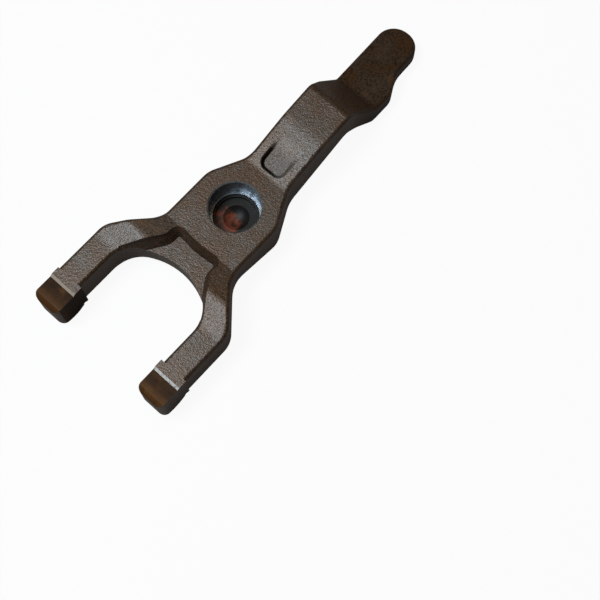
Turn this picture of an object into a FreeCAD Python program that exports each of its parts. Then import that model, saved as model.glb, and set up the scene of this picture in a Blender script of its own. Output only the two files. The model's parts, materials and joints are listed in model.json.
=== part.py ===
"""Clutch fork: one forged steel lever.

A pivot socket near the middle opens upward, two prongs reach towards -X and carry the
bearing pads on their undersides, and a joggled arm reaches towards +X and ends in a round
head with the pushrod cup on its underside.  The origin is the centre of the socket's mouth,
+X runs along the arm and +Z points out of the socket.  Millimetres.
"""
import FreeCAD, Part
import math
import os
import Sketcher

doc = FreeCAD.newDocument("clutch_fork")

# ---------------------------------------------------------------- driving dimensions
DIMENSIONS = [
    # prongs, in plan
    ("tip_reach", 88.6, "socket axis to the end of the tips"),
    ("prong_gap", 50.8, "width between the rough prongs"),
    ("prong_width", 12.9, "width of one rough prong"),
    ("shoulder_x", 45.0, "socket axis to the shoulder corner"),
    ("shoulder_radius", 11.0, "rounding of the shoulder"),
    ("gap_corner_x", 44.4, "socket axis to the corner of the gap"),
    ("gap_corner_radius", 16.5, "rounding in the corner of the gap"),
    ("gap_bottom_x", 31.9, "socket axis to the vertex of the gap's bottom"),
    ("gap_bottom_radius", 35.0, "rounding of the gap's bottom"),
    # boss and shank, in plan
    ("boss_width", 42.2, "width across the boss"),
    ("boss_front_x", 25.2, "socket axis to the corner before the boss"),
    ("boss_front_radius", 14.0, "hollow between shoulder and boss"),
    ("boss_back_x", 4.8, "socket axis to the corner behind the boss"),
    ("boss_back_radius", 12.0, "rounding behind the boss"),
    ("shank_x", 22.8, "socket axis to the start of the shank"),
    ("shank_start_radius", 18.0, "hollow between boss and shank"),
    ("shank_width", 24.1, "width of the shank"),
    # joggle, paddle and head, in plan, measured back from the end of the head
    ("head_reach", 124.8, "socket axis to the end of the head"),
    ("arm_bend_radius", 30.0, "gentle bends along the arm"),
    ("waist_back", 54.0, "end of the head to the waist at the joggle"),
    ("waist_right", 11.6, "right side of the waist"),
    ("waist_left", 13.4, "left side of the waist"),
    ("waist_radius", 6.0, "rounding of the waist's left side"),
    ("bulge_near_back", 42.8, "end of the head to the bulge's near end"),
    ("bulge_far_back", 31.3, "end of the head to the bulge's far end"),
    ("bulge_right", 13.0, "reach of the bulge on the right"),
    ("bulge_near_radius", 20.0, "near rounding of the bulge"),
    ("bulge_far_radius", 9.0, "far rounding of the bulge"),
    ("neck_back", 20.8, "end of the head to the neck behind it"),
    ("neck_right", 7.2, "right side of the neck"),
    ("neck_radius", 18.0, "hollow of the neck"),
    ("paddle_back", 44.0, "end of the head to the narrow on the left"),
    ("paddle_left", 11.2, "left side at the narrow"),
    ("paddle_radius", 12.0, "hollow of the narrow"),
    ("head_left", 13.2, "left side of the head"),
    ("head_right", 6.8, "right side of the head"),
    ("head_radius", 9.5, "rounding of the head"),
    # upper profile
    ("prong_drop", 0.5, "top of the prongs below the mouth"),
    ("ridge_foot_x", 49.0, "socket axis to the foot of the cross ridge"),
    ("ridge_x", 37.5, "socket axis to the crest of the cross ridge"),
    ("ridge_top", 2.7, "crest of the cross ridge above the mouth"),
    ("ridge_radius", 8.0, "rounding of the crest"),
    ("land_front_x", 23.0, "socket axis to the edge of the flat land"),
    ("land_front_radius", 4.0, "hollow before the land"),
    ("land_back_x", 20.5, "socket axis to the far edge of the land"),
    ("land_radius", 7.0, "hollow behind the land"),
    ("knee_x", 46.0, "socket axis to the knee of the shank"),
    ("knee_top", 5.8, "knee above the mouth"),
    ("knee_radius", 30.0, "rounding of the knee"),
    ("crest_back", 59.3, "end of the head to the crest of the joggle"),
    ("crest_top", 7.4, "crest above the mouth"),
    ("crest_radius", 5.0, "rounding of the crest of the joggle"),
    ("valley_back", 42.3, "end of the head to the foot of the joggle"),
    ("valley_depth", 8.4, "foot of the joggle below the mouth"),
    ("valley_radius", 4.0, "hollow at the foot of the joggle"),
    ("head_top_depth", 12.0, "top of the head below the mouth"),
    # lower profile
    ("prong_depth", 18.0, "underside of the prongs below the mouth"),
    ("web_start_x", 50.0, "socket axis to the start of the web"),
    ("web_bend_radius", 20.0, "bend of the underside at the web"),
    ("dip_x", 19.0, "socket axis to the dip before the socket"),
    ("dip_depth", 14.2, "dip below the mouth"),
    ("dip_radius", 6.0, "hollow of the dip"),
    ("belly_x", 2.0, "socket axis to the belly under the socket"),
    ("belly_depth", 20.0, "belly below the mouth"),
    ("belly_radius", 12.0, "rounding of the belly"),
    ("underside_x", 26.0, "socket axis to the bend under the shank"),
    ("underside_depth", 18.0, "bend under the shank below the mouth"),
    ("underside_radius", 30.0, "rounding under the shank"),
    ("hollow_back", 62.3, "end of the head to the hollow under the joggle"),
    ("hollow_depth", 7.6, "hollow under the joggle below the mouth"),
    ("hollow_radius", 5.0, "rounding of that hollow"),
    ("heel_back", 44.3, "end of the head to the heel of the paddle"),
    ("heel_depth", 20.6, "heel below the mouth"),
    ("heel_radius", 3.0, "rounding of the heel"),
    ("head_bottom_depth", 19.4, "underside of the head below the mouth"),
    # forged edges
    ("top_edge_radius", 1.7, "rounding of the upper outline"),
    ("bottom_edge_radius", 2.0, "rounding of the lower outline"),
    # web pocket
    ("pocket_depth", 5.4, "floor of the web pocket below the mouth"),
    ("pocket_wall_x", 23.6, "socket axis to the pocket's wall"),
    ("pocket_corner_x", 22.0, "socket axis to the pocket's corners"),
    ("pocket_width", 27.0, "width of the pocket by the socket"),
    ("pocket_splay_x", 30.0, "socket axis to where the pocket widens"),
    ("pocket_mouth_x", 47.5, "socket axis to the pocket's open corners"),
    ("pocket_corner_radius", 4.0, "corners of the pocket"),
    ("pocket_splay_radius", 6.0, "bend where the pocket widens"),
    ("pocket_draft", 28.0, "slope of the pocket's walls, degrees"),
    # recess on the shank
    ("recess_x", 22.9, "socket axis to the recess's closed end"),
    ("recess_length", 20.0, "length of the recess"),
    ("recess_width", 12.4, "width of the recess"),
    ("recess_radius", 3.6, "corners of the recess"),
    ("recess_depth", 1.2, "floor's closed end below the mouth"),
    ("recess_slope", 18.5, "slope of the recess's floor, degrees"),
    # pivot socket
    ("socket_bore", 24.0, "diameter of the socket"),
    ("socket_depth", 10.6, "depth to the ledge"),
    ("socket_chamfer", 0.6, "chamfer of the mouth"),
    ("ledge_bore", 21.6, "diameter inside the ledge"),
    ("ledge_step", 1.0, "depth from the ledge to the next one"),
    ("seat_bore", 19.4, "diameter of the seat"),
    ("seat_depth", 13.0, "depth to the flat floor of the socket"),
    ("seat_ball_radius", 8.0, "radius of the ball-shaped seat"),
    ("seat_ball_depth", 2.8, "depth of the ball-shaped seat"),
    # pushrod cup
    ("cup_back", 10.0, "end of the head to the cup's centre"),
    ("cup_radius", 6.6, "radius of the cup's ball"),
    ("cup_depth", 4.4, "depth of the cup"),
    # bearing tips
    ("tip_length", 16.2, "length of a tip block"),
    ("tip_proud_outside", 0.3, "tip block proud of the prong's outside"),
    ("tip_proud_inside", 1.2, "tip block proud of the prong's inside"),
    ("tip_corner_radius", 3.2, "corners of the tip in plan"),
    ("tip_end_radius", 3.2, "rounding of the tip's end"),
    ("tip_face_length", 11.0, "length of the machined top face"),
    ("tip_face_drop", 1.2, "machined face below the prong's top"),
    ("pad_length", 13.6, "length of a bearing pad"),
    ("pad_step", 0.4, "pad's ends proud of the prong's underside"),
    ("pad_slope", 30.0, "slope at a pad's ends, degrees"),
    ("pad_radius", 11.0, "radius of a bearing pad"),
    ("pad_end_radius", 2.0, "rounding where the pad meets the tip's end"),
    ("notch_width", 1.4, "notch behind a pad"),
    ("notch_depth", 0.6, "depth of that notch"),
    ("cut_past", 3.0, "how far a cut reaches past the metal"),
]

sheet = doc.addObject("Spreadsheet::Sheet", "dims")
sheet.set("A1", "dimension")
sheet.set("B1", "mm")
sheet.set("C1", "meaning")
for row, (alias, value, meaning) in enumerate(DIMENSIONS, start=2):
    sheet.set("A%d" % row, alias)
    sheet.set("B%d" % row, str(value))
    sheet.setAlias("B%d" % row, alias)
    sheet.set("C%d" % row, meaning)
doc.recompute()


def value_of(expression):
    """Number that an expression over the sheet's aliases has now."""
    return float(sheet.evalExpression(expression.replace("dims.", "")))


body = doc.addObject("PartDesign::Body", "Body")
body.Label = "clutch_fork"


def origin_plane(role):
    """Origin plane of the body that has this role."""
    for feature in body.Origin.OriginFeatures:
        if feature.Role == role:
            return feature
    raise RuntimeError("no origin plane " + role)


def new_sketch(name, role, offset=None):
    """Empty sketch of the body on an origin plane, moved within it by expressions."""
    sketch = body.newObject("Sketcher::SketchObject", name)
    sketch.AttachmentSupport = [(origin_plane(role), "")]
    sketch.MapMode = "FlatFace"
    for axis, expression in (offset or {}).items():
        sketch.setExpression("AttachmentOffset.Base." + axis, expression)
    return sketch


def draw_outline(sketch, name, corners):
    """Closed outline through corners (x, y, radius), each an expression over the sheet.

    Every corner is a construction point held by its two coordinates.  A corner with a
    radius gets an arc tangent to both neighbouring lines, and a corner without one is sharp.
    """
    count = len(corners)
    points = [FreeCAD.Vector(value_of(x), value_of(y), 0) for x, y, _ in corners]
    before, after, arcs = [], [], []
    for i, (_, _, radius) in enumerate(corners):
        here = points[i]
        back = (points[i - 1] - here).normalize()
        ahead = (points[(i + 1) % count] - here).normalize()
        if radius is None:
            before.append(here)
            after.append(here)
            arcs.append(None)
            continue
        size = value_of(radius)
        half = back.getAngle(ahead) / 2
        reach = size / math.tan(half)
        before.append(here + back * reach)
        after.append(here + ahead * reach)
        centre = here + (back + ahead).normalize() * (size / math.sin(half))
        anticlockwise = back.cross(ahead).z < 0
        first, last = (before[i], after[i]) if anticlockwise else (after[i], before[i])
        circle = Part.Circle(centre, FreeCAD.Vector(0, 0, 1), size)
        arc = Part.ArcOfCircle(circle, circle.parameter(first), circle.parameter(last))
        arcs.append((arc, anticlockwise))

    line_ids = []
    for i in range(count):
        line = Part.LineSegment(after[i], before[(i + 1) % count])
        line_ids.append(sketch.addGeometry(line, False))

    constraints, bindings = [], []
    first_index = sketch.ConstraintCount

    def bind(constraint, label, expression):
        bindings.append((first_index + len(constraints), label, expression))
        constraints.append(constraint)

    for i, (x, y, radius) in enumerate(corners):
        incoming, outgoing = line_ids[i - 1], line_ids[i]
        if radius is None:
            point, vertex = outgoing, 1
            constraints.append(Sketcher.Constraint("Coincident", incoming, 2, outgoing, 1))
        else:
            arc, anticlockwise = arcs[i]
            arc_id = sketch.addGeometry(arc, False)
            point, vertex = sketch.addGeometry(Part.Point(points[i]), True), 1
            start, end = (1, 2) if anticlockwise else (2, 1)
            constraints.append(Sketcher.Constraint("Tangent", incoming, 2, arc_id, start))
            constraints.append(Sketcher.Constraint("Tangent", arc_id, end, outgoing, 1))
            constraints.append(Sketcher.Constraint("PointOnObject", point, 1, incoming))
            constraints.append(Sketcher.Constraint("PointOnObject", point, 1, outgoing))
            bind(Sketcher.Constraint("Radius", arc_id, value_of(radius)),
                 "%s_%d_radius" % (name, i), radius)
        if x == "0":
            constraints.append(Sketcher.Constraint("PointOnObject", point, vertex, -2))
        else:
            bind(Sketcher.Constraint("DistanceX", -1, 1, point, vertex, points[i].x),
                 "%s_%d_x" % (name, i), x)
        if y == "0":
            constraints.append(Sketcher.Constraint("PointOnObject", point, vertex, -1))
        else:
            bind(Sketcher.Constraint("DistanceY", -1, 1, point, vertex, points[i].y),
                 "%s_%d_y" % (name, i), y)
    sketch.addConstraint(constraints)
    for index, label, expression in bindings:
        sketch.renameConstraint(index, label)
        sketch.setExpression("Constraints." + label, expression)


# ---------------------------------------------------------------- the forging
def forge_side_profile():
    """Solid with the fork's side profile, as wide as the prongs and both shoulders."""
    sketch = new_sketch("SideProfile", "XZ_Plane")
    prong_end = "-(dims.tip_reach - dims.tip_length / 2)"
    beyond_head = "dims.head_reach + dims.head_radius"
    corners = [
        # along the top, from the prongs to the head
        (prong_end, "-dims.prong_drop", None),
        ("-dims.ridge_foot_x", "-dims.prong_drop", "dims.web_bend_radius"),
        ("-dims.ridge_x", "dims.ridge_top", "dims.ridge_radius"),
        ("-dims.land_front_x", "0", "dims.land_front_radius"),
        ("dims.land_back_x", "0", "dims.land_radius"),
        ("dims.knee_x", "dims.knee_top", "dims.knee_radius"),
        ("dims.head_reach - dims.crest_back", "dims.crest_top", "dims.crest_radius"),
        ("dims.head_reach - dims.valley_back", "-dims.valley_depth", "dims.valley_radius"),
        (beyond_head, "-dims.head_top_depth", None),
        # back along the underside
        (beyond_head, "-dims.head_bottom_depth", None),
        ("dims.head_reach - dims.heel_back", "-dims.heel_depth", "dims.heel_radius"),
        ("dims.head_reach - dims.hollow_back", "-dims.hollow_depth", "dims.hollow_radius"),
        ("dims.underside_x", "-dims.underside_depth", "dims.underside_radius"),
        ("dims.belly_x", "-dims.belly_depth", "dims.belly_radius"),
        ("-dims.dip_x", "-dims.dip_depth", "dims.dip_radius"),
        ("-dims.web_start_x", "-dims.prong_depth", "dims.web_bend_radius"),
        (prong_end, "-dims.prong_depth", None),
    ]
    draw_outline(sketch, "profile", corners)
    pad = body.newObject("PartDesign::Pad", "SideProfilePad")
    pad.Profile = sketch
    pad.SideType = "Symmetric"
    pad.setExpression("Length", "dims.prong_gap + 2 * dims.prong_width + 10")
    return pad


def plan_corners():
    """Corners of the outline seen from above, anticlockwise from the right prong's end."""
    prong_end = "-(dims.tip_reach - dims.tip_length / 2)"
    inside = "dims.prong_gap / 2"
    outside = "(dims.prong_gap / 2 + dims.prong_width)"
    prong_and_boss = [
        (prong_end, inside, None),
        (prong_end, outside, None),
        ("-dims.shoulder_x", outside, "dims.shoulder_radius"),
        ("-dims.boss_front_x", "dims.boss_width / 2", "dims.boss_front_radius"),
        ("dims.boss_back_x", "dims.boss_width / 2", "dims.boss_back_radius"),
        ("dims.shank_x", "dims.shank_width / 2", "dims.shank_start_radius"),
    ]
    right_arm = [
        ("dims.head_reach - dims.waist_back", "-dims.waist_right", "dims.arm_bend_radius"),
        ("dims.head_reach - dims.bulge_near_back", "-dims.bulge_right", "dims.bulge_near_radius"),
        ("dims.head_reach - dims.bulge_far_back", "-dims.bulge_right", "dims.bulge_far_radius"),
        ("dims.head_reach - dims.neck_back", "-dims.neck_right", "dims.neck_radius"),
        ("dims.head_reach", "-dims.head_right", "dims.head_radius"),
    ]
    left_arm = [
        ("dims.head_reach", "dims.head_left", "dims.head_radius"),
        ("dims.head_reach - dims.paddle_back", "dims.paddle_left", "dims.paddle_radius"),
        ("dims.head_reach - dims.waist_back", "dims.waist_left", "dims.waist_radius"),
    ]
    gap = [
        ("-dims.gap_corner_x", inside, "dims.gap_corner_radius"),
        ("-dims.gap_bottom_x", "0", "dims.gap_bottom_radius"),
        ("-dims.gap_corner_x", "-" + inside, "dims.gap_corner_radius"),
    ]
    right_side = [(x, "-" + y, radius) for x, y, radius in prong_and_boss]
    left_side = list(reversed(prong_and_boss))
    return right_side + right_arm + left_arm + left_side + gap


def frame_corners(x_low, x_high, y_reach):
    """Corners of a plain rectangle that reaches as far to each side."""
    return [
        (x_low, "-" + y_reach, None),
        (x_high, "-" + y_reach, None),
        (x_high, y_reach, None),
        (x_low, y_reach, None),
    ]


def cut_through(name, sketch, both_ways=True):
    """Pocket right through the body along the sketch's normal."""
    pocket = body.newObject("PartDesign::Pocket", name)
    pocket.Profile = sketch
    pocket.Type = "ThroughAll"
    pocket.SideType = "Symmetric" if both_ways else "One side"
    return pocket


def trim_to_plan():
    """Cuts away what lies outside the outline seen from above."""
    sketch = new_sketch("PlanOutline", "XY_Plane")
    side = "(dims.prong_gap + 2 * dims.prong_width)"
    draw_outline(sketch, "outline", plan_corners())
    draw_outline(sketch, "frame", frame_corners(
        "-(dims.tip_reach + dims.tip_length)", "dims.head_reach + 3 * dims.head_radius", side))
    return cut_through("PlanCut", sketch)


def facing(face, point):
    """Unit normal of a face at a point on it."""
    return face.normalAt(*face.Surface.parameter(point))


def round_outline(name, upward, radius):
    """Rounds the edges where the side walls meet the top, or the underside."""
    base = body.Tip
    shape = base.Shape
    flat = 0.01
    names = []
    for index, edge in enumerate(shape.Edges, start=1):
        middle = edge.valueAt((edge.FirstParameter + edge.LastParameter) / 2)
        normals = [facing(face, middle) for face in shape.ancestorsOfType(edge, Part.Face)]
        walls = [n for n in normals if abs(n.z) < flat and n.x > -1 + flat]
        sheets = [n for n in normals if abs(n.y) < flat and n.z * (1 if upward else -1) > flat]
        if len(walls) == 1 and len(sheets) == 1:
            names.append("Edge%d" % index)
    fillet = body.newObject("PartDesign::Fillet", name)
    fillet.Base = (base, names)
    fillet.setExpression("Radius", radius)
    return fillet


def pocket_corners():
    """Corners of the web pocket, which opens into the gap."""
    half = "dims.pocket_width / 2"
    mouth = "dims.prong_gap / 2"
    left = [
        ("-dims.pocket_corner_x", half, "dims.pocket_corner_radius"),
        ("-dims.pocket_splay_x", half, "dims.pocket_splay_radius"),
        ("-dims.pocket_mouth_x", mouth, None),
        ("-(dims.pocket_mouth_x + dims.gap_corner_radius)", mouth, None),
    ]
    right = [(x, "-" + y, radius) for x, y, radius in reversed(left)]
    wall = [("-dims.pocket_wall_x", "0", "dims.gap_bottom_radius")]
    return wall + left + right


def cut_web_pocket():
    """Sinks the web between the prongs below the land, with sloping walls."""
    sketch = new_sketch("WebPocket", "XY_Plane")
    draw_outline(sketch, "pocket", pocket_corners())
    pocket = body.newObject("PartDesign::Pocket", "WebPocketCut")
    pocket.Profile = sketch
    pocket.SideType = "Two sides"
    pocket.Type = "Length"
    pocket.Type2 = "Length"
    pocket.setExpression("Length", "dims.pocket_depth")
    pocket.setExpression("Length2", "dims.ridge_top + dims.cut_past")
    pocket.setExpression("TaperAngle", "-dims.pocket_draft")
    return pocket


def cut_shank_recess():
    """Flat recess with a round-cornered closed end, which fades out up the shank."""
    sketch = new_sketch("ShankRecess", "XY_Plane")
    tilt = FreeCAD.Rotation(FreeCAD.Vector(0, 1, 0), -value_of("recess_slope"))
    sketch.AttachmentOffset = FreeCAD.Placement(FreeCAD.Vector(0, 0, 0), tilt)
    sketch.setExpression("AttachmentOffset.Base.x", "dims.recess_x")
    sketch.setExpression("AttachmentOffset.Base.z", "-dims.recess_depth")
    sketch.setExpression("AttachmentOffset.Rotation.Angle", "-dims.recess_slope")
    half = "dims.recess_width / 2"
    draw_outline(sketch, "recess", [
        ("0", "-" + half, "dims.recess_radius"),
        ("dims.recess_length", "-" + half, None),
        ("dims.recess_length", half, None),
        ("0", half, "dims.recess_radius"),
    ])
    pocket = body.newObject("PartDesign::Pocket", "ShankRecessCut")
    pocket.Profile = sketch
    pocket.Reversed = True
    pocket.setExpression("Length", "dims.recess_length")
    return pocket


def revolve_cut(name, sketch):
    """Groove once round the sketch's vertical axis."""
    groove = body.newObject("PartDesign::Groove", name)
    groove.Profile = sketch
    groove.ReferenceAxis = (sketch, ["V_Axis"])
    groove.Angle = 360
    return groove


def cut_socket():
    """Pivot socket: chamfered bore, two ledges and a flat floor."""
    sketch = new_sketch("Socket", "XZ_Plane")
    bore = "dims.socket_bore / 2"
    ledge = "dims.ledge_bore / 2"
    seat = "dims.seat_bore / 2"
    draw_outline(sketch, "socket", [
        ("0", "dims.socket_chamfer", None),
        (bore + " + 2 * dims.socket_chamfer", "dims.socket_chamfer", None),
        (bore, "-dims.socket_chamfer", None),
        (bore, "-dims.socket_depth", None),
        (ledge, "-dims.socket_depth", None),
        (ledge, "-(dims.socket_depth + dims.ledge_step)", None),
        (seat, "-(dims.socket_depth + dims.ledge_step)", None),
        (seat, "-dims.seat_depth", None),
        ("0", "-dims.seat_depth", None),
    ])
    return revolve_cut("SocketCut", sketch)


def cut_ball(name, x, z, radius):
    """Cuts a ball out of the fork, centred in the mid plane at x and z."""
    sketch = new_sketch(name + "Ball", "XZ_Plane", {"x": x, "y": z})
    size = value_of(radius)
    circle = Part.Circle(FreeCAD.Vector(0, 0, 0), FreeCAD.Vector(0, 0, 1), size)
    arc = sketch.addGeometry(Part.ArcOfCircle(circle, -math.pi / 2, math.pi / 2), False)
    top, bottom = FreeCAD.Vector(0, size, 0), FreeCAD.Vector(0, -size, 0)
    line = sketch.addGeometry(Part.LineSegment(top, bottom), False)
    sketch.addConstraint([
        Sketcher.Constraint("Coincident", arc, 3, -1, 1),
        Sketcher.Constraint("PointOnObject", arc, 1, -2),
        Sketcher.Constraint("PointOnObject", arc, 2, -2),
        Sketcher.Constraint("Coincident", line, 1, arc, 2),
        Sketcher.Constraint("Coincident", line, 2, arc, 1),
    ])
    index = sketch.addConstraint(Sketcher.Constraint("Radius", arc, size))
    sketch.renameConstraint(index, "ball_radius")
    sketch.setExpression("Constraints.ball_radius", radius)
    return revolve_cut(name + "Cut", sketch)


def cut_seat():
    """Ball-shaped seat in the floor of the socket."""
    height = "-(dims.seat_depth + dims.seat_ball_depth - dims.seat_ball_radius)"
    return cut_ball("Seat", "0", height, "dims.seat_ball_radius")


def cut_cup():
    """Ball-shaped pushrod cup in the underside of the head."""
    run = "(dims.heel_back + dims.head_radius)"
    rise = "(dims.head_bottom_depth - dims.heel_depth)"
    underside = "(dims.heel_depth + %s * (dims.heel_back - dims.cup_back) / %s)" % (rise, run)
    height = "-(%s + dims.cup_radius - dims.cup_depth)" % underside
    return cut_ball("Cup", "dims.head_reach - dims.cup_back", height, "dims.cup_radius")


# ---------------------------------------------------------------- the bearing tips
TIP_END = "-dims.tip_reach"
TIP_START = "-(dims.tip_reach - dims.tip_length)"


def add_tip_blocks():
    """Blocks at the ends of the prongs, a little proud of both their sides."""
    inside = "(dims.prong_gap / 2 - dims.tip_proud_inside)"
    outside = "(dims.prong_gap / 2 + dims.prong_width + dims.tip_proud_outside)"
    left = [
        (TIP_END, inside, "dims.tip_corner_radius"),
        (TIP_START, inside, None),
        (TIP_START, outside, None),
        (TIP_END, outside, "dims.tip_corner_radius"),
    ]
    right = [(x, "-" + y, radius) for x, y, radius in left]
    sketch = new_sketch("TipPlan", "XY_Plane")
    draw_outline(sketch, "left", left)
    draw_outline(sketch, "right", right)
    pad = body.newObject("PartDesign::Pad", "TipBlocks")
    pad.Profile = sketch
    pad.SideType = "Two sides"
    pad.Type = "Length"
    pad.Type2 = "Length"
    pad.setExpression("Length", "dims.ridge_top")
    pad.setExpression("Length2", "dims.prong_depth + dims.pad_length / 2")
    return pad


def machine_tip_tops():
    """Faces the tips' tops below the rough prongs, with a sloping riser."""
    clear = "(dims.ridge_top + dims.cut_past)"
    face = "-(dims.prong_drop + dims.tip_face_drop)"
    riser = "-(dims.tip_reach - dims.tip_face_length)"
    sketch = new_sketch("TipTops", "XZ_Plane")
    draw_outline(sketch, "top", [
        ("-(dims.tip_reach + dims.cut_past)", clear, None),
        ("-(dims.tip_reach + dims.cut_past)", "-dims.prong_depth / 2", None),
        (TIP_END, "-dims.prong_depth / 2", None),
        (TIP_END, face, "dims.tip_end_radius"),
        (riser, face, None),
        (riser + " + dims.tip_face_drop", "-dims.prong_drop", None),
        (TIP_START, "-dims.prong_drop", None),
        (TIP_START, clear, None),
    ])
    return cut_through("TipTopsCut", sketch)


def machine_pads():
    """Crowned bearing pads under the tips, each with a notch behind it."""
    clear = "-(dims.prong_depth + dims.pad_length)"
    step = "-(dims.prong_depth + dims.pad_step)"
    pad_end = "-(dims.tip_reach - dims.pad_length)"
    pad_middle = "-(dims.tip_reach - dims.pad_length / 2)"
    apex = step + " - dims.pad_length / 2 * tan(dims.pad_slope * 1 deg)"
    notch_top = "-(dims.prong_depth - dims.notch_depth)"
    notch_end = pad_end + " + dims.notch_width"
    sketch = new_sketch("Pads", "XZ_Plane")
    draw_outline(sketch, "pad", [
        ("-(dims.tip_reach + dims.cut_past)", clear, None),
        ("-(dims.tip_reach + dims.cut_past)", "-dims.prong_depth / 2", None),
        (TIP_END, "-dims.prong_depth / 2", None),
        (TIP_END, step, "dims.pad_end_radius"),
        (pad_middle, apex, "dims.pad_radius"),
        (pad_end, step, None),
        (pad_end, notch_top, None),
        (notch_end, notch_top, None),
        (notch_end, "-dims.prong_depth", None),
        (TIP_START, "-dims.prong_depth", None),
        (TIP_START, clear, None),
    ])
    return cut_through("PadsCut", sketch)


# ---------------------------------------------------------------- building it
def build_fork():
    """Makes every feature in order, recomputing so that each can read the last."""
    steps = [
        forge_side_profile,
        trim_to_plan,
        lambda: round_outline("TopEdges", True, "dims.top_edge_radius"),
        lambda: round_outline("BottomEdges", False, "dims.bottom_edge_radius"),
        cut_web_pocket,
        cut_shank_recess,
        cut_socket,
        cut_seat,
        cut_cup,
        add_tip_blocks,
        machine_tip_tops,
        machine_pads,
    ]
    volume = 0.0
    for step in steps:
        feature = step()
        doc.recompute()
        if feature.Shape.isNull() or abs(feature.Shape.Volume - volume) < 1.0:
            raise RuntimeError(feature.Name + " changed nothing")
        volume = feature.Shape.Volume


def check_document():
    """Stops if any object failed or the fork isn't one valid solid."""
    for thing in doc.Objects:
        if "Invalid" in thing.State or "Error" in thing.State:
            raise RuntimeError(thing.Name + " failed")
    if body.Shape.isNull() or not body.Shape.isValid() or len(body.Shape.Solids) != 1:
        raise RuntimeError("the fork isn't one valid solid")


build_fork()
check_document()
os.makedirs("parts", exist_ok=True)
body.Shape.exportStep("parts/%s.step" % body.Label)
print("volume %.0f mm3, %d faces" % (body.Shape.Volume, len(body.Shape.Faces)))
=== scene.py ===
import json
import math

import bpy
from bpy.props import FloatProperty, FloatVectorProperty, PointerProperty
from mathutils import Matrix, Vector


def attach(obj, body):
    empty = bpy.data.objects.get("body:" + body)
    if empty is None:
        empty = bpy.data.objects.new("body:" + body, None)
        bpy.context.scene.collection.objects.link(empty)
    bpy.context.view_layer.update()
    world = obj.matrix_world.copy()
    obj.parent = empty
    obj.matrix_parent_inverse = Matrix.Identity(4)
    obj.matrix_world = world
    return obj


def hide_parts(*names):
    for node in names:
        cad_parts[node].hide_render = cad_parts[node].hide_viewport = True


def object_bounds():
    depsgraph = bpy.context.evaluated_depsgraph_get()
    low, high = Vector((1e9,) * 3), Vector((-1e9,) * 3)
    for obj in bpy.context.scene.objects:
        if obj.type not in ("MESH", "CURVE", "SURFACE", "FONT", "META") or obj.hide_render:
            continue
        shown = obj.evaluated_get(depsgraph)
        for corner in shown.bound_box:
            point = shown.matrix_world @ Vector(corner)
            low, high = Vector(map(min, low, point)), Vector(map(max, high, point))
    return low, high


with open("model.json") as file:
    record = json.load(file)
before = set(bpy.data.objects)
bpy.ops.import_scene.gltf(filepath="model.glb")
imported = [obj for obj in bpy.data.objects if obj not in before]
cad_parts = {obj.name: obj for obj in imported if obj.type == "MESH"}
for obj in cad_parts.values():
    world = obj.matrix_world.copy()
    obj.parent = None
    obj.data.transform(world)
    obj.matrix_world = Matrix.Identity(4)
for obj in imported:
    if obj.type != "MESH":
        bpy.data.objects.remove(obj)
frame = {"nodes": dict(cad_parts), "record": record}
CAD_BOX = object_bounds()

bl_info = {
    "name": "Clutch fork",
    "version": (1, 0, 0),
    "blender": (4, 5, 0),
    "location": "View3D > Sidebar > Clutch fork",
    "description": "Finishes a forged clutch fork and sets its stage",
    "category": "Object",
}

NODE = "clutch_fork"
MOUNTS = {mount["name"]: mount for mount in frame["record"]["mounts"]}
SOCKET = MOUNTS["pivot_socket"]
CUP = MOUNTS["pushrod_cup"]

SLACK = 0.0001  # how far a flat facet may lie from the curved surface it stands for
LEVEL = 0.9  # least slope of a normal that counts as straight up or sideways
STEEP = 0.1  # most slope of a normal that counts as a wall's
FORGED, MILLED, BARE, BORED, SEAT, POLISHED = range(6)


def length(name, description, default, **limits):
    """Property that holds a length in metres."""
    return FloatProperty(name=name, description=description, default=default,
                         unit="LENGTH", precision=5, **limits)


def colour(name, description, default):
    """Property that holds a linear colour."""
    return FloatVectorProperty(name=name, description=description, default=default,
                               subtype="COLOR", size=3, min=0.0, max=1.0)


def share(name, description, default):
    """Property that holds a share from 0 to 1."""
    return FloatProperty(name=name, description=description, default=default,
                         subtype="FACTOR", min=0.0, max=1.0)


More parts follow.
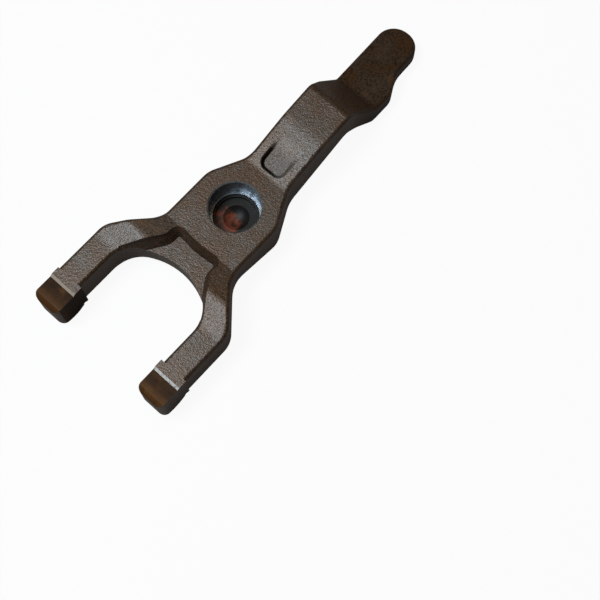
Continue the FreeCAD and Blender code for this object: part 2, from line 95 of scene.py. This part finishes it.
class ForgedScale(bpy.types.PropertyGroup):
    """Grainy oxide scale of the forged surfaces."""

    # Also the colour of the painted shade in the corners and in the recess.
    dark_scale_and_shade: colour("Dark scale", "Scale between the grains", (0.010, 0.006, 0.004))
    scale_brown: colour("Brown scale", "Warm brown scale", (0.062, 0.029, 0.012))
    scale_grey: colour("Grey scale", "Cooler grey scale", (0.058, 0.038, 0.025))
    rust: colour("Rust", "Light rust along the edges", (0.140, 0.060, 0.022))
    grain: length("Grain", "Width of one grain of the blasted surface", 0.00062)
    patch: length("Patch", "Width of the brown and grey patches", 0.0075)
    cloud: length("Cloud", "Width of the broad changes of colour", 0.0300)
    grain_height: length("Grain height", "Height of the grains", 0.00017)
    roughness: share("Roughness", "Roughness of the scale", 0.42)
    sheen_cool: colour("Cool sheen", "Tint of the scale's shine", (1.0, 0.86, 0.77))
    sheen_warm: colour("Warm sheen", "Tint of the shine on brown patches", (1.0, 0.74, 0.58))
    glaze: share("Glaze", "Amount of smooth glaze over the scale", 0.5)
    glaze_roughness: share("Glaze roughness", "Roughness of the glaze", 0.30)
    oiled_from: length("Oiled from", "Socket axis to the oiled end of the arm", 0.064)
    oiled_to: length("Oiled to", "Socket axis to where the arm is fully oiled", 0.078)
    groove_x: length("Recess end", "Socket axis to the closed end of the recess", 0.0229)
    groove_length: length("Recess length", "Length of the recess", 0.0200)
    groove_width: length("Recess width", "Width of the recess", 0.0124)
    groove_corner: length("Recess corners", "Radius of the recess's corners", 0.0036)
    # The recess settings below place painted shade: a dark line round the recess's corner,
    # stronger on the left side, and a darker floor.
    groove_below: length("Recess below", "Socket mouth to well below the recess", 0.0060)
    groove_shade_until: length("Dirt until", "Closed end of the recess to where dirt thins", 0.0080)
    groove_unshaded_from: length("Clean from", "Closed end of the recess to where it is clean", 0.0135)
    groove_unshaded_side: length("Clean side", "Mid plane to where the recess's side is clean", 0.0160)
    groove_floor_shade: share("Dust", "How dirty the recess's floor is", 0.30)
    groove_shade_line: length("Dirt line", "Half width of the dirt round the recess", 0.0013)
    gloss: FloatProperty(name="Gloss", description="Refractive index of the scale",
                         default=1.62, min=1.0, max=3.0)
    # Reach of the painted shade that darkens the corners.
    corner_shade_reach: length("Dirt", "Reach of the dirt in the corners", 0.0034)


class MachinedSteel(bpy.types.PropertyGroup):
    """Milled tips, bored socket, its seat and the pushrod cup."""

    steel: colour("Steel", "Bare milled steel", (0.30, 0.30, 0.31))
    # Painted highlight: the near-white colour of the riser stands for its glint.
    bright: colour("Bright steel", "Freshly cut edge", (1.0, 0.96, 0.92))
    # Weaker painted highlight on the left tip's riser.
    dulled: colour("Dulled steel", "Riser of the left tip, dulled by oil", (0.62, 0.50, 0.40))
    stained: colour("Stained steel", "Oil-stained milled steel", (0.019, 0.008, 0.0035))
    # Painted reflection: the brown that the milled faces take on towards the tips' ends.
    brown_end_reflection: colour("Browned steel", "Brown band at the milled ends", (0.120, 0.048, 0.014))
    oxide: colour("Blue oxide", "Bluish steel of the bore", (0.34, 0.38, 0.42))
    seat_dark: colour("Seat", "Dark grease in the seat", (0.008, 0.007, 0.006))
    seat_rust: colour("Seat rust", "Dark rust in the seat", (0.050, 0.022, 0.014))
    seat_red: colour("Red rust", "Reddest rust in the seat", (0.200, 0.048, 0.024))
    rust_centre: FloatVectorProperty(name="Rust centre", size=3, unit="LENGTH", precision=5,
                                     description="Middle of the rust patch in the socket",
                                     default=(-0.0052, 0.0020, -0.0140))
    rust_ragged: length("Ragged edge", "How far the rust patch's edge wanders", 0.0060)
    ring_width: length("Ring", "Width of a turning mark in the bore", 0.0009)
    scratch: length("Scratch", "Width of a scratch on bare steel", 0.0011)
    smudge: length("Smudge", "Width of the smudges in the bore", 0.0032)
    seat_blotch: length("Seat blotch", "Width of the blotches in the seat", 0.0036)
    seat_grain: length("Seat grain", "Width of the seat's grains", 0.0008)
    cup_blotch: length("Cup blotch", "Width of the blotches in the cup", 0.0028)
    stain: length("Stain", "Width of the oil stains", 0.0065)
    rust_reach: length("Rust reach", "Radius of the rust patch", 0.0050)
    tool_mark: length("Tool mark", "Spacing of the cutter's marks", 0.00045)
    roughness: share("Roughness", "Roughness of the machined faces", 0.34)
    face_start: length("Machined face", "Socket axis to the riser of the tips", 0.0776)
    tip_start: length("Tip block", "Socket axis to the start of the tip blocks", 0.0724)
    riser: length("Riser", "Length of the bare riser in front of the machined faces", 0.0012)
    tip_inside: length("Tip inside", "Mid plane to the tips' inner faces", 0.0242)
    brown_from: length("Brown from", "Socket axis to the start of the tips' brown end", 0.0805)
    brown_to: length("Brown to", "Socket axis to the brownest part of the tips", 0.0862)
    pad_start: length("Pad", "Socket axis to the start of the rounded pads", 0.0750)
    pad_depth: length("Pad depth", "Socket mouth to the upper end of the rounded pads", 0.0181)
    mouth_edge: length("Mouth edge", "Width of the socket's chamfered mouth", 0.0007)
    oil_sheen: colour("Oil sheen", "Tint of the shine of the oiled faces", (1.0, 0.72, 0.54))
    cup_radius: length("Cup radius", "Radius of the pushrod cup's ball", 0.0066)
    ledge_depth: length("Ledge depth", "Socket mouth to its ledge", 0.0106)


class Stage(bpy.types.PropertyGroup):
    """Floor, lights and camera."""

    floor: colour("Floor", "Colour of the floor", (0.92, 0.92, 0.92))
    bounce: colour("Bounce", "Light that the floor sends back to the fork", (0.16, 0.125, 0.10))
    glow: share("Glow", "How much of the floor's white comes from itself", 0.93)
    mirrored: share("Mirrored", "How much of the white floor the steel reflects", 0.06)
    floor_size: length("Floor size", "Side of the square floor", 4.0)
    lit_point: FloatVectorProperty(name="Lit point", size=3, unit="LENGTH", precision=5,
                                   description="Point that the lights aim at",
                                   default=(0.017, 0.0, -0.010))
    key: colour("Key light", "Colour of the main light", (0.78, 0.91, 1.0))
    key_power: FloatProperty(name="Key power", description="Power of the main light",
                             default=5.2, unit="POWER")
    key_size: length("Key size", "Side of the main light", 0.30)
    key_distance: length("Key distance", "Main light to the fork", 0.85)
    key_azimuth: FloatProperty(name="Key azimuth", description="Direction of the main light",
                               default=math.radians(143.0), subtype="ANGLE")
    key_elevation: FloatProperty(name="Key elevation", description="Height of the main light",
                                 default=math.radians(67.0), subtype="ANGLE")
    warm: colour("Warm light", "Colour of the second light", (1.0, 0.74, 0.50))
    warm_power: FloatProperty(name="Warm power", description="Power of the second light",
                              default=0.5, unit="POWER")
    warm_azimuth: FloatProperty(name="Warm azimuth", description="Direction of the second light",
                                default=math.radians(60.0), subtype="ANGLE")
    warm_elevation: FloatProperty(name="Warm elevation", subtype="ANGLE",
                                  description="Height of the second light",
                                  default=math.radians(76.0))
    fill: colour("Fill light", "Colour of the light all round", (1.0, 0.78, 0.58))
    fill_level: FloatProperty(name="Fill level", description="Strength of the light all round",
                              default=0.09)
    focal_length: FloatProperty(name="Focal length", description="Camera's focal length",
                                default=67.8, subtype="DISTANCE_CAMERA")
    view_azimuth: FloatProperty(name="View azimuth", description="Where the camera stands",
                                default=math.radians(-138.2), subtype="ANGLE")
    view_elevation: FloatProperty(name="View elevation", description="Height of the camera",
                                  default=math.radians(72.5), subtype="ANGLE")
    view_distance: length("View distance", "Camera to the point that it looks at", 0.512568)
    look_x: length("Look at X", "Point that the camera looks at, along the arm", -0.008261)
    look_y: length("Look at Y", "Point that the camera looks at, across the arm", -0.046419)


class NodeTree:
    """Short way to build a material's nodes."""

    def __init__(self, name):
        self.material = bpy.data.materials.new(name)
        self.material.use_nodes = True
        self.tree = self.material.node_tree
        self.shader = self.tree.nodes["Principled BSDF"]
        coordinates = self.add("ShaderNodeTexCoord")
        self.place = coordinates.outputs["Object"]
        self.axes = None

    def add(self, kind, sockets=None, **settings):
        """Adds a node, with its settings and the values or links of its sockets."""
        node = self.tree.nodes.new(kind)
        for key, value in settings.items():
            setattr(node, key, value)
        for key, value in (sockets or {}).items():
            self.put(node.inputs[key], value)
        return node

    def put(self, socket, value):
        """Links an output to a socket, or sets the socket's value."""
        if isinstance(value, bpy.types.NodeSocket):
            self.tree.links.new(value, socket)
        else:
            socket.default_value = value

    def axis(self, name):
        """Place along X, Y or Z."""
        if self.axes is None:
            self.axes = self.add("ShaderNodeSeparateXYZ", {0: self.place}).outputs
        return self.axes[name]

    def vector(self, operation, first, second=None):
        """Result of one sum of vectors."""
        sockets = {0: first} if second is None else {0: first, 1: second}
        return self.add("ShaderNodeVectorMath", sockets, operation=operation).outputs[0]

    def grains(self, width, detail=3.0, roughness=0.55):
        """Noise whose cells are about this wide, from 0 to 1."""
        return self.add("ShaderNodeTexNoise", {
            "Vector": self.place, "Scale": 1.0 / width,
            "Detail": detail, "Roughness": roughness,
        }).outputs["Fac"]

    def between(self, value, low, high, smooth=True):
        """Value stretched so that low becomes 0 and high becomes 1."""
        return self.add("ShaderNodeMapRange", {
            "Value": value, "From Min": low, "From Max": high,
        }, interpolation_type="SMOOTHSTEP" if smooth else "LINEAR").outputs["Result"]

    def maths(self, operation, first, second=0.0):
        """Result of one sum."""
        return self.add("ShaderNodeMath", {0: first, 1: second}, operation=operation).outputs[0]

    def mix(self, share, first, second):
        """Colour that goes from the first to the second."""
        node = self.add("ShaderNodeMix", data_type="RGBA")
        self.put(node.inputs["Factor"], share)
        for socket, value in ((node.inputs[6], first), (node.inputs[7], second)):
            self.put(socket, value if isinstance(value, bpy.types.NodeSocket) else rgba(value))
        return node.outputs[2]

    def bump(self, height, distance, normal=None):
        """Normal tilted by a height from 0 to 1, which stands for this distance."""
        node = self.add("ShaderNodeBump", {"Height": height, "Distance": distance,
                                           "Strength": 1.0})
        if normal is not None:
            self.put(node.inputs["Normal"], normal)
        return node.outputs["Normal"]

    def finish(self, **sockets):
        """Sets the shader's sockets, by name with spaces as underscores."""
        for key, value in sockets.items():
            self.put(self.shader.inputs[key.replace("_", " ")], value)
        return self.material


def rgba(value):
    """Colour with full alpha."""
    return (*tuple(value)[:3], 1.0)


# ---------------------------------------------------------------- finishes
def recess_painted_shade(t, finish):
    """Painted shade in the shank's recess, from 0 to 1: a dark line round its corner, stronger on
    the left side, and a darker floor, which fades up the shank.
    """
    half = Vector((finish.groove_length / 2, finish.groove_width / 2, 0.0))
    inner = half - Vector((finish.groove_corner, finish.groove_corner, 0.0))
    middle = Vector((finish.groove_x + half.x, 0.0, 0.0))
    flat = t.vector("MULTIPLY", t.vector("SUBTRACT", t.place, middle), (1.0, 1.0, 0.0))
    beyond = t.vector("SUBTRACT", t.vector("ABSOLUTE", flat), inner)
    outside = t.vector("MAXIMUM", beyond, (0.0, 0.0, 0.0))
    reach = t.add("ShaderNodeVectorMath", {0: outside}, operation="LENGTH").outputs["Value"]
    away = t.maths("ABSOLUTE", t.maths("SUBTRACT", reach, finish.groove_corner))
    # Painted shade: a dark line along the recess's corner, stronger on the left side.
    line = t.between(away, finish.groove_shade_line, finish.groove_shade_line / 2)
    along = t.between(t.axis("X"), finish.groove_x + finish.groove_unshaded_from,
                      finish.groove_x + finish.groove_shade_until)
    side = t.between(t.axis("Y"), -finish.groove_unshaded_side, 0.0)
    corner = t.maths("MULTIPLY", t.maths("MULTIPLY", line, along), side)
    # Painted shade on the recess's floor.
    inside = t.between(reach, finish.groove_corner, finish.groove_corner - finish.groove_shade_line)
    floor_shade = t.maths("MULTIPLY", t.maths("MULTIPLY", inside, along), finish.groove_floor_shade)
    above = t.between(t.axis("Z"), -finish.groove_below, -finish.groove_below / 2)
    return t.maths("MULTIPLY", t.maths("MAXIMUM", corner, floor_shade), above)


def forged_material(finish):
    """Grainy blasted scale: grey-brown, darker between the grains, with painted shade in the
    corners and in the shank's recess.
    """
    t = NodeTree("forged scale")
    broad = t.grains(finish.cloud, 2.0)
    patches = t.grains(finish.patch)
    grain = t.grains(finish.grain, 2.0, 0.6)
    speck = t.grains(finish.grain * 1.9, 2.0, 0.5)
    tint = t.maths("ADD", t.maths("MULTIPLY", broad, 0.6), t.maths("MULTIPLY", patches, 0.4))
    scale = t.mix(t.between(tint, 0.40, 0.60), finish.scale_brown, finish.scale_grey)
    coarse = t.maths("ADD", t.maths("MULTIPLY", grain, 0.6), t.maths("MULTIPLY", speck, 0.4))
    scale = t.mix(t.between(coarse, 0.34, 0.58), finish.dark_scale_and_shade, scale)
    worn = t.maths("MULTIPLY", t.between(patches, 0.52, 0.66), t.between(broad, 0.50, 0.62))
    scale = t.mix(t.maths("MULTIPLY", worn, 0.35), scale, finish.rust)
    # Painted shade: ambient occlusion darkens the scale in the corners and hollows.
    corner_shade = t.add("ShaderNodeAmbientOcclusion", {"Distance": finish.corner_shade_reach},
                    samples=8, only_local=True).outputs["AO"]
    scale = t.mix(t.between(corner_shade, 0.50, 0.96), finish.dark_scale_and_shade, scale)
    # Painted shade in the shank's recess: darker colour and dimmer shine there.
    painted_shade = recess_painted_shade(t, finish)
    scale = t.mix(painted_shade, scale, finish.dark_scale_and_shade)
    unshaded_unoiled = t.maths("SUBTRACT", 1.0, painted_shade)
    oiled = t.between(t.axis("X"), finish.oiled_from, finish.oiled_to)
    unshaded_unoiled = t.maths("MULTIPLY", unshaded_unoiled, t.maths("SUBTRACT", 1.0,
                                               t.maths("MULTIPLY", oiled, 0.75)))
    height = t.maths("MULTIPLY", finish.grain_height,
                     t.maths("SUBTRACT", 1.0, t.maths("MULTIPLY", oiled, 0.6)))
    rough = t.maths("ADD", finish.roughness - 0.10, t.maths("MULTIPLY", grain, 0.22))
    soft = t.bump(speck, height)
    # The shine is dimmed under the recess's painted shade and on the oiled arm.
    sheen = t.mix(t.between(tint, 0.44, 0.60), finish.sheen_warm, finish.sheen_cool)
    sheen = t.mix(unshaded_unoiled, finish.dark_scale_and_shade, sheen)
    return t.finish(Base_Color=scale, Roughness=rough, IOR=finish.gloss, Specular_Tint=sheen,
                    Coat_Weight=t.maths("MULTIPLY", unshaded_unoiled, finish.glaze),
                    Coat_Roughness=finish.glaze_roughness,
                    Coat_Normal=t.bump(grain, height, soft),
                    Normal=t.bump(grain, height, soft))


def milled_material(finish):
    """Flat milled face with fine cutter marks across it, stained dark, with a painted brown
    reflection towards the tips' ends.
    """
    t = NodeTree("milled steel")
    marks = t.add("ShaderNodeTexWave", {
        "Vector": t.place, "Scale": 1.0 / finish.tool_mark / 20.0, "Distortion": 1.2,
        "Detail": 2.0, "Detail Scale": 2.0,
    }, wave_type="BANDS", bands_direction="X").outputs["Fac"]
    stain = t.grains(finish.stain)
    # Painted reflection: the milled faces turn brown towards the tips' ends.
    reflection_near_end = t.between(t.axis("X"), -finish.brown_from, -finish.brown_to)
    blotchy = t.maths("ADD", t.maths("MULTIPLY", reflection_near_end, 0.62), t.between(stain, 0.40, 0.95))
    base = t.mix(blotchy, finish.stained, finish.brown_end_reflection)
    base = t.mix(t.maths("MULTIPLY", marks, 0.2), base, finish.seat_dark)
    rough = t.maths("ADD", finish.roughness, t.maths("MULTIPLY", stain, 0.2))
    return t.finish(Base_Color=base, Roughness=rough, Specular_IOR_Level=0.12,
                    Specular_Tint=rgba(finish.oil_sheen),
                    Normal=t.bump(marks, 0.00001))


def bare_material(finish):
    """Bare steel of a freshly cut edge, a little scratched, coloured near white as a painted
    highlight, which is weaker on the left tip's riser.
    """
    t = NodeTree("bare steel")
    scratch = t.grains(finish.scratch)
    # Painted highlight: bare steel mixed towards near white.
    base = t.mix(t.between(scratch, 0.30, 0.50), finish.steel, finish.bright)
    left = t.between(t.axis("Y"), -finish.tip_inside, finish.tip_inside)
    # The left tip's riser gets a weaker painted highlight.
    base = t.mix(left, base, finish.dulled)
    rough = t.maths("ADD", 0.32, t.maths("MULTIPLY", scratch, 0.25))
    return t.finish(Base_Color=base, Roughness=rough, Metallic=0.25,
                    Normal=t.bump(scratch, 0.00002))


def bored_material(finish):
    """Turned wall of the socket: bluish steel with darker rings and smudges."""
    t = NodeTree("bored steel")
    rings = t.add("ShaderNodeTexNoise", {
        "W": t.axis("Z"), "Scale": 1.0 / finish.ring_width, "Detail": 3.0,
    }, noise_dimensions="1D").outputs["Fac"]
    smudge = t.grains(finish.smudge)
    shade = t.maths("MULTIPLY", t.between(smudge, 0.50, 0.66), 0.55)
    base = t.mix(shade, finish.oxide, finish.seat_dark)
    rough = t.maths("ADD", finish.roughness - 0.06, t.maths("MULTIPLY", smudge, 0.2))
    return t.finish(Base_Color=base, Roughness=rough, Metallic=0.8,
                    Normal=t.bump(rings, 0.00003))


def seat_material(finish):
    """Dark greasy floor of the socket with a reddish patch of rust to one side."""
    t = NodeTree("rusty seat")
    blotch = t.grains(finish.seat_blotch)
    offset = t.add("ShaderNodeVectorMath", {0: t.place, 1: finish.rust_centre},
                   operation="DISTANCE").outputs["Value"]
    reach = t.maths("SUBTRACT", offset, t.maths("MULTIPLY", blotch, finish.rust_ragged))
    patch = t.between(reach, finish.rust_reach, finish.rust_reach - finish.rust_ragged / 2)
    rust = t.mix(t.between(blotch, 0.40, 0.62), finish.seat_rust, finish.seat_red)
    base = t.mix(patch, finish.seat_dark, rust)
    rough = t.maths("ADD", 0.34, t.maths("MULTIPLY", blotch, 0.3))
    return t.finish(Base_Color=base, Roughness=rough, Specular_IOR_Level=0.3,
                    Normal=t.bump(t.grains(finish.seat_grain), 0.00004))


def cup_material(finish):
    """Smooth worn ball cup, dark with bare steel where the pushrod has run."""
    t = NodeTree("worn cup")
    blotch = t.grains(finish.cup_blotch)
    base = t.mix(t.between(blotch, 0.40, 0.60), finish.stained, finish.steel)
    rough = t.maths("ADD", 0.20, t.maths("MULTIPLY", blotch, 0.25))
    return t.finish(Base_Color=base, Roughness=rough, Metallic=0.6,
                    Normal=t.bump(blotch, 0.00004))


# ---------------------------------------------------------------- the fork
def cup_centre(steel):
    """Centre of the pushrod cup's ball."""
    return Vector(CUP["pos_m"]) - Vector((0.0, 0.0, steel.cup_radius))


def surface_at(point, normal, steel):
    """Which finish a face has, from where it lies."""
    bore = SOCKET["dims"]["r_mm"] / 1000.0 + steel.mouth_edge
    on_land = normal.z > LEVEL and point.z > -SLACK
    if math.hypot(point.x, point.y) < bore and normal.z > -STEEP and not on_land:
        return BORED if point.z > -steel.ledge_depth - SLACK else SEAT
    from_ball = (point - cup_centre(steel)).length
    if abs(from_ball - steel.cup_radius) < SLACK and normal.z < -STEEP:
        return POLISHED
    past_face = -steel.face_start - point.x
    if -steel.riser < past_face < 0.0 and 0.5 < normal.z < LEVEL:
        return BARE
    if past_face > -SLACK and normal.z > STEEP / 2:
        return MILLED
    inner_side = abs(abs(point.y) - steel.tip_inside) < 2 * SLACK and abs(normal.y) > LEVEL
    if point.x < -steel.tip_start and inner_side:
        return MILLED
    if point.x < -steel.pad_start and point.z < -steel.pad_depth:
        return MILLED
    return FORGED


class CLUTCHFORK_OT_forging(bpy.types.Operator):
    """Makes the fork's finished mesh from its CAD solid, with its five finishes"""

    bl_idname = "clutch_fork.forging"
    bl_label = "Forged fork"

    def execute(self, context):
        scale = context.scene.clutch_fork_scale
        steel = context.scene.clutch_fork_steel
        data = frame["nodes"][NODE].data.copy()
        data.name = "fork_forging"
        data.materials.clear()
        for material in (forged_material(scale), milled_material(steel), bare_material(steel),
                         bored_material(steel), seat_material(steel), cup_material(steel)):
            data.materials.append(material)
        for face in data.polygons:
            face.material_index = surface_at(face.center, face.normal, steel)
        fork = bpy.data.objects.new("fork_forging", data)
        context.scene.collection.objects.link(fork)
        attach(fork, "root")
        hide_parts(NODE)
        return {"FINISHED"}


# ---------------------------------------------------------------- the stage
def direction(azimuth, elevation):
    """Unit vector towards an azimuth from +X and an elevation above the floor."""
    return Vector((math.cos(azimuth) * math.cos(elevation),
                   math.sin(azimuth) * math.cos(elevation), math.sin(elevation)))


def add_light(name, place, target, size, power, light_colour):
    """Square lamp at a place, aimed at a target."""
    lamp = bpy.data.lights.new(name, "AREA")
    lamp.size = size
    lamp.energy = power
    lamp.color = light_colour
    holder = bpy.data.objects.new(name, lamp)
    holder.location = place
    holder.rotation_euler = (target - place).to_track_quat("-Z", "Y").to_euler()
    bpy.context.scene.collection.objects.link(holder)


def floor_material(stage):
    """White floor that keeps the shadow."""
    t = NodeTree("floor")
    glow = t.add("ShaderNodeEmission", {"Color": (1.0, 1.0, 1.0, 1.0), "Strength": 1.0})
    path = t.add("ShaderNodeLightPath")
    shine = t.maths("MAXIMUM", path.outputs["Is Glossy Ray"], path.outputs["Is Transmission Ray"])
    seen = t.maths("MAXIMUM", path.outputs["Is Camera Ray"],
                   t.maths("MULTIPLY", shine, stage.mirrored))
    t.finish(Base_Color=t.mix(seen, stage.bounce, stage.floor), Roughness=0.9,
             Specular_IOR_Level=0.0)
    mix = t.add("ShaderNodeMixShader", {0: t.maths("MULTIPLY", seen, stage.glow)})
    t.put(mix.inputs[1], t.shader.outputs[0])
    t.put(mix.inputs[2], glow.outputs[0])
    output = t.tree.nodes["Material Output"]
    t.put(output.inputs["Surface"], mix.outputs[0])
    return t.material


def set_world(stage):
    """Dim warm light all round, seen as white by the camera."""
    world = bpy.data.worlds.new("studio")
    bpy.context.scene.world = world
    world.use_nodes = True
    tree = world.node_tree
    background = tree.nodes["Background"]
    background.inputs["Color"].default_value = rgba(stage.fill)
    background.inputs["Strength"].default_value = stage.fill_level
    white = tree.nodes.new("ShaderNodeBackground")
    path = tree.nodes.new("ShaderNodeLightPath")
    mix = tree.nodes.new("ShaderNodeMixShader")
    tree.links.new(path.outputs["Is Camera Ray"], mix.inputs[0])
    white.inputs["Color"].default_value = (1.0, 1.0, 1.0, 1.0)
    tree.links.new(background.outputs[0], mix.inputs[1])
    tree.links.new(white.outputs[0], mix.inputs[2])
    tree.links.new(mix.outputs[0], tree.nodes["World Output"].inputs["Surface"])


class CLUTCHFORK_OT_stage(bpy.types.Operator):
    """Adds the floor, the lights and the camera"""

    bl_idname = "clutch_fork.stage"
    bl_label = "Stage"

    def execute(self, context):
        scene = context.scene
        stage = scene.clutch_fork_stage
        ground = CAD_BOX[0].z
        half = stage.floor_size / 2
        data = bpy.data.meshes.new("floor")
        data.from_pydata([(-half, -half, ground), (half, -half, ground),
                          (half, half, ground), (-half, half, ground)], [], [(0, 1, 2, 3)])
        data.materials.append(floor_material(stage))
        floor = bpy.data.objects.new("floor", data)
        scene.collection.objects.link(floor)

        centre = Vector(stage.lit_point)
        way = direction(stage.key_azimuth, stage.key_elevation)
        add_light("key", centre + way * stage.key_distance, centre, stage.key_size,
                  stage.key_power, stage.key)
        way = direction(stage.warm_azimuth, stage.warm_elevation)
        add_light("warm", centre + way * stage.key_distance, centre, stage.key_size,
                  stage.warm_power, stage.warm)
        set_world(stage)

        lens = bpy.data.cameras.new("camera")
        lens.lens = stage.focal_length
        lens.clip_start = 0.01
        camera = bpy.data.objects.new("camera", lens)
        target = Vector((stage.look_x, stage.look_y, ground))
        back = direction(stage.view_azimuth, stage.view_elevation)
        camera.location = target + back * stage.view_distance
        camera.rotation_euler = (-back).to_track_quat("-Z", "Y").to_euler()
        scene.collection.objects.link(camera)
        scene.camera = camera
        scene.view_settings.view_transform = "Standard"
        return {"FINISHED"}


class CLUTCHFORK_PT_sidebar(bpy.types.Panel):
    """Lists the fork's sizes and colours and the buttons that make it"""

    bl_label = "Clutch fork"
    bl_space_type = "VIEW_3D"
    bl_region_type = "UI"
    bl_category = "Clutch fork"

    def draw(self, context):
        scene = context.scene
        for operator, group in ((CLUTCHFORK_OT_forging, scene.clutch_fork_scale),
                                (None, scene.clutch_fork_steel),
                                (CLUTCHFORK_OT_stage, scene.clutch_fork_stage)):
            box = self.layout.box()
            for name in group.__annotations__:
                box.prop(group, name)
            if operator:
                box.operator(operator.bl_idname)


CLASSES = (ForgedScale, MachinedSteel, Stage, CLUTCHFORK_OT_forging, CLUTCHFORK_OT_stage,
           CLUTCHFORK_PT_sidebar)


def register():
    for cls in CLASSES:
        bpy.utils.register_class(cls)
    bpy.types.Scene.clutch_fork_scale = PointerProperty(type=ForgedScale)
    bpy.types.Scene.clutch_fork_steel = PointerProperty(type=MachinedSteel)
    bpy.types.Scene.clutch_fork_stage = PointerProperty(type=Stage)


def unregister():
    del bpy.types.Scene.clutch_fork_scale
    del bpy.types.Scene.clutch_fork_steel
    del bpy.types.Scene.clutch_fork_stage
    for cls in reversed(CLASSES):
        bpy.utils.unregister_class(cls)


def main():
    """Makes every piece and the stage."""
    register()
    bpy.ops.clutch_fork.forging()
    bpy.ops.clutch_fork.stage()
    bpy.context.view_layer.update()


if __name__ == "__main__":
    main()
